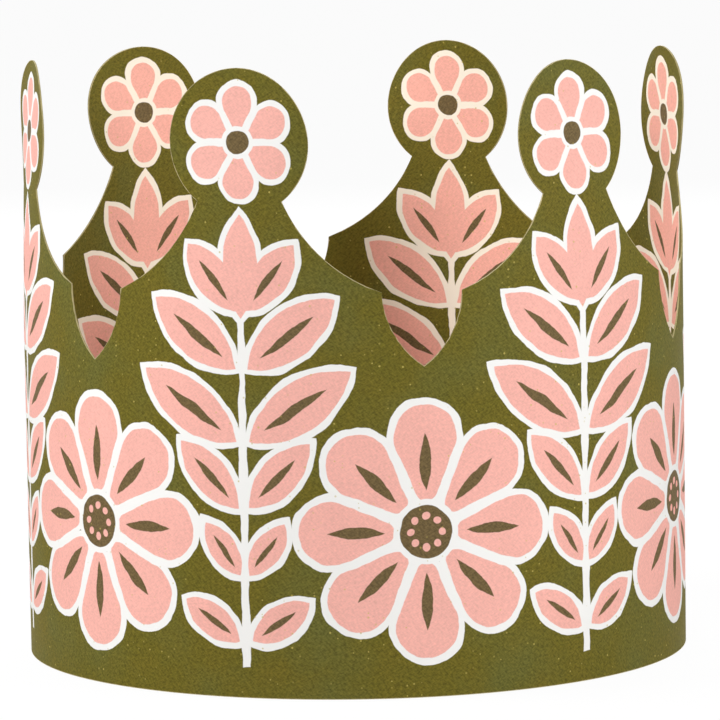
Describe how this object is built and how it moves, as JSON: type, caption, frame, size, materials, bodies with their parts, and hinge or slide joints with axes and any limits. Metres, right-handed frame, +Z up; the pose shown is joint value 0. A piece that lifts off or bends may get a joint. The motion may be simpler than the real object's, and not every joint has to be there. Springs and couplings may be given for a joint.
{
  "type": "paper crown",
  "caption": "Round card crown to wear on the head: a printed strip closed into a ring, with ball-topped points along its upper edge.",
  "frame": {"origin": "middle of the ring, on the plane of its base edge", "axes": "+Z up towards the points, -Y to the front valley, +Y to the glued lap"},
  "size_m": [0.1848, 0.185, 0.166],
  "materials": {
    "printed_card": "matt uncoated card, printed on both faces"
  },
  "bodies": {
    "root": {"crown": "printed_card"}
  },
  "joints": []
}
